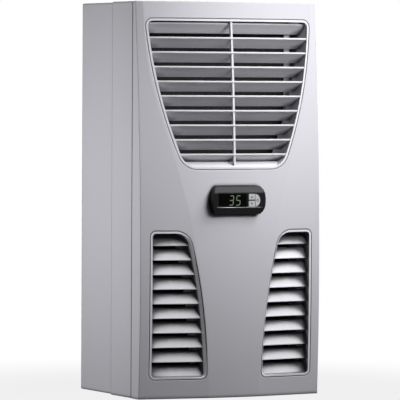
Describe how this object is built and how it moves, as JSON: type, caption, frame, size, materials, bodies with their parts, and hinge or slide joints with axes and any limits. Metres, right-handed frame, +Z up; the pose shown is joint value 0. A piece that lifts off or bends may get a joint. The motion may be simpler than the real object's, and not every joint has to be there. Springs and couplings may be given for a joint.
{
  "type": "enclosure cooling unit",
  "caption": "Wall-mounted enclosure cooling unit: stepped sheet-steel body, moulded bulging front hood with louvred air grilles and a small panel controller with sprung keys.",
  "frame": {"origin": "middle of the bounding box footprint, at the level of the underside", "axes": "+Z up, the front with its grilles looks along -Y, the mounting face along +Y, +X to the right seen from the front"},
  "size_m": [0.28, 0.221, 0.55],
  "materials": {
    "housing_paint": "fine satin powder coat",
    "hood_plastic": "fine satin moulded skin",
    "grille_plastic": "satin moulded",
    "plate_steel": "galvanised",
    "guard_paint": "satin black",
    "seal_foam": "closed-cell foam",
    "nut_steel": "zinc plated",
    "fin_aluminium": "finned",
    "bezel_plastic": "gloss",
    "window_plastic": "polished",
    "case_plastic": "matte",
    "key_rubber": "satin"
  },
  "bodies": {
    "cooler": {"rear_housing": "housing_paint", "middle_housing": "housing_paint", "back_panel": "plate_steel", "partition_plate": "plate_steel", "sealing_strip": "seal_foam", "inlet_guard": "guard_paint", "outlet_grille": "guard_paint", "fixing_nut_top_left": "nut_steel", "fixing_nut_top_right": "nut_steel", "fixing_nut_foot_left": "nut_steel", "fixing_nut_foot_right": "nut_steel", "front_hood": "hood_plastic", "upper_grille": "grille_plastic", "lower_left_grille": "grille_plastic", "lower_right_grille": "grille_plastic", "controller_bezel": "bezel_plastic", "display_window": "window_plastic", "controller_case": "case_plastic", "evaporator_coil": "fin_aluminium", "condenser_coil": "fin_aluminium", "condenser_end_left": "plate_steel", "condenser_end_right": "plate_steel"},
    "key_up": {"up_key": "key_rubber"},
    "key_down": {"down_key": "key_rubber"},
    "key_set": {"set_key": "key_rubber"}
  },
  "joints": [
    {"name": "up_press", "type": "slide", "parent": "cooler", "child": "key_up", "axis": [0, 1, 0], "range_m": [0, 0.0008], "stiffness_N_per_m": 500, "springref_m": -0.001},
    {"name": "down_press", "type": "slide", "parent": "cooler", "child": "key_down", "axis": [0, 1, 0], "range_m": [0, 0.0008], "stiffness_N_per_m": 500, "springref_m": -0.001},
    {"name": "set_press", "type": "slide", "parent": "cooler", "child": "key_set", "axis": [0, 1, 0], "range_m": [0, 0.0008], "stiffness_N_per_m": 500, "springref_m": -0.001}
  ]
}
